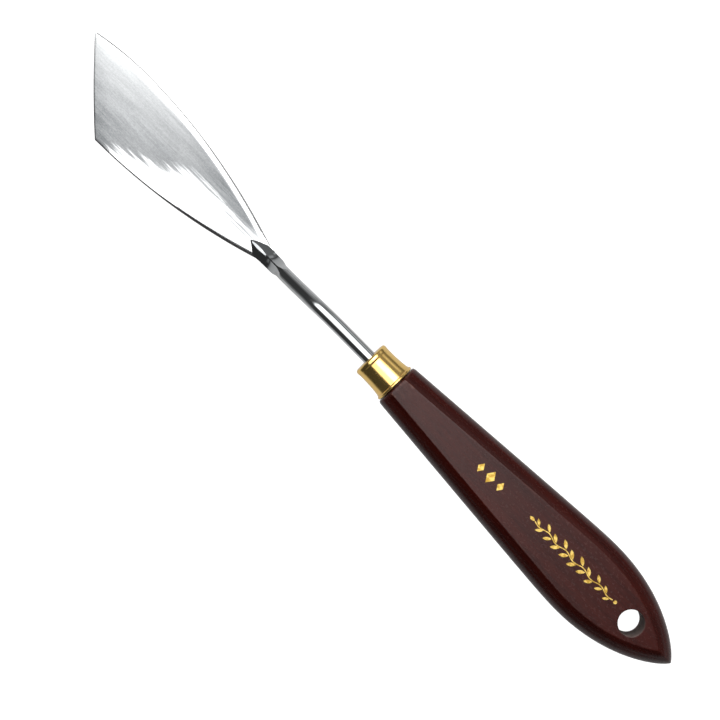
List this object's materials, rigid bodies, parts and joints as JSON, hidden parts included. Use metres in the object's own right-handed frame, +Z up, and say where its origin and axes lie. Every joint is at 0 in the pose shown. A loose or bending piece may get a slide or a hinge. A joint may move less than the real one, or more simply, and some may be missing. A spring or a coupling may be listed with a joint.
{
  "type": "painting knife",
  "caption": "Painting knife with a shaped wooden handle, brass ferrule, cranked steel stem and a springy trowel blade with a slanted front edge.",
  "frame": {"origin": "middle of the footprint of the knife as it lies on a bench, at bench height: the blade is flat on the bench and the tail of the handle touches it", "axes": "+X runs along the knife from the handle to the blade, +Z is up, away from the bench, and +Y is to the left when looking along +X"},
  "size_m": [0.2527, 0.0262, 0.0183],
  "materials": {
    "stained_wood": "dark red-brown stain under satin lacquer",
    "polished_brass": "polished",
    "polished_steel": "polished, a little darker than the blade",
    "brushed_blade_steel": "brushed along the blade",
    "cured_resin": "clear amber, hidden inside the handle"
  },
  "bodies": {
    "knife": {"handle": "stained_wood", "ferrule": "polished_brass", "stem": "polished_steel", "tang_adhesive": "cured_resin", "blade_heel": "brushed_blade_steel"},
    "leaf": {"blade_leaf": "brushed_blade_steel"}
  },
  "joints": [
    {"name": "blade_flex", "type": "hinge", "parent": "knife", "child": "leaf", "pos_m": [0.05945, 0, 0.00033], "axis": [0, -1, 0], "range_deg": [-20, 20], "stiffness_Nm_per_rad": 2.08}
  ]
}
